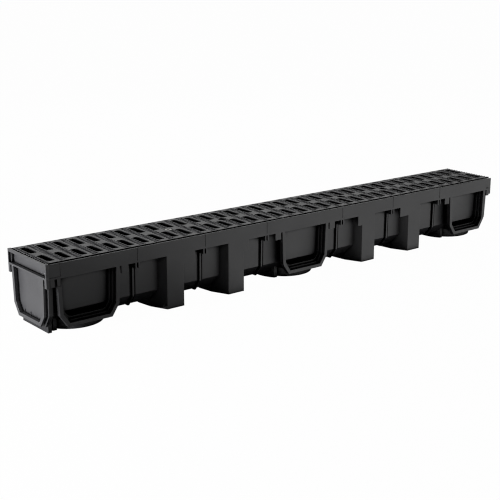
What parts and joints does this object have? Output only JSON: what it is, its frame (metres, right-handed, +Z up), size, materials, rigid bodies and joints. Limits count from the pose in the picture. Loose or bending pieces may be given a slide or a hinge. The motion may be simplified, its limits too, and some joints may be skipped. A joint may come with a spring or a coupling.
{
  "type": "channel drain",
  "caption": "Plastic linear drainage channel with anchor blocks, side and bottom outlet places, a slotted anti-slip grate held by a steel screw, and a closed end cap.",
  "frame": {"origin": "under the middle of the channel, on the surface that its feet stand on", "axes": "+X along the channel from the capped end to the open end, +Z up, Y across"},
  "size_m": [1.007, 0.12, 0.1135],
  "materials": {
    "channel_plastic": "satin moulded black polypropylene",
    "cap_plastic": "satin moulded black polypropylene",
    "grate_plastic": "satin moulded black polypropylene with rough strips",
    "screw_steel": "bright stainless steel"
  },
  "bodies": {
    "root": {"channel_body": "channel_plastic", "end_cap": "cap_plastic", "grate": "grate_plastic", "grate_screw": "screw_steel"}
  },
  "joints": []
}
